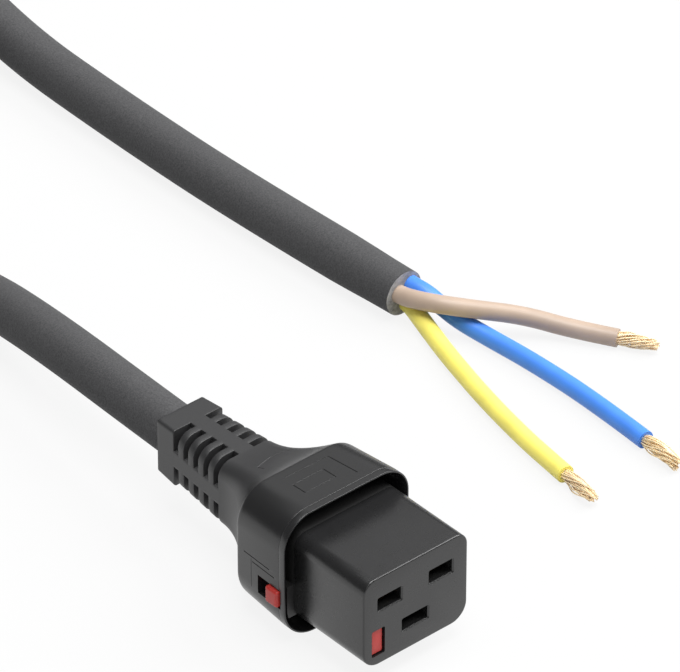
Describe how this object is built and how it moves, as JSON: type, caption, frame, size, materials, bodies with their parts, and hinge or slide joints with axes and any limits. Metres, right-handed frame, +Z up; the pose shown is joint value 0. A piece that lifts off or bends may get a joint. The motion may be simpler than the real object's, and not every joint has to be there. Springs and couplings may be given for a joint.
{
  "type": "locking appliance connector on a lead",
  "caption": "Moulded three-pole appliance connector with a red side release slide, a slotted strain relief and a lead whose far end is cut and stripped.",
  "frame": {"origin": "under the middle of the connector, on the surface that its housing rests on", "axes": "+Y from the mating face towards the lead, +Z up through the wide housing, +X away from the release button"},
  "size_m": [0.1604, 0.3436, 0.029],
  "materials": {
    "overmould": "fine satin texture, dark grey",
    "grey_insulator": "satin dark grey",
    "black_insulator": "matt black",
    "red_plastic": "satin red",
    "steel": "plain spring steel",
    "contact_brass": "rolled strip",
    "jacket": "matt black-grey flexible jacket",
    "tie": "matt black strap",
    "brown_insulation": "soft satin brown",
    "blue_insulation": "soft satin blue",
    "yellow_insulation": "soft satin yellow",
    "copper": "bright twisted copper strands"
  },
  "bodies": {
    "connector": {"blue_core": "blue_insulation", "blue_strands": "copper", "brown_core": "brown_insulation", "brown_strands": "copper", "cable_coil": "jacket", "cable_lead": "jacket", "cable_tail": "jacket", "coil_tie": "tie", "contact_carrier": "black_insulator", "earth_contact": "contact_brass", "earth_core_lead": "yellow_insulation", "front_bezel": "overmould", "inner_mould": "black_insulator", "live_contact": "contact_brass", "live_core_lead": "brown_insulation", "lock_spring": "steel", "neutral_contact": "contact_brass", "neutral_core_lead": "blue_insulation", "nose_sleeve": "grey_insulator", "overmould_body": "overmould", "yellow_core": "yellow_insulation", "yellow_strands": "copper"},
    "release": {"release_slide": "red_plastic"},
    "plate": {"lock_plate": "steel"}
  },
  "joints": [
    {"name": "release_pull", "type": "slide", "parent": "connector", "child": "release", "axis": [0, 1, 0], "range_m": [0, 0.0028], "stiffness_N_per_m": 600, "springref_m": -0.002, "deforming": ["lock_spring"]},
    {"name": "plate_tilt", "type": "hinge", "parent": "connector", "child": "plate", "pos_m": [0.0056, -0.0289, 0.01035], "axis": [0, 0, -1], "range_deg": [0, 12.1]}
  ],
  "couplings": [
    {"joint": "plate_tilt", "follows": "release_pull", "rad_per_m": 73.511}
  ]
}
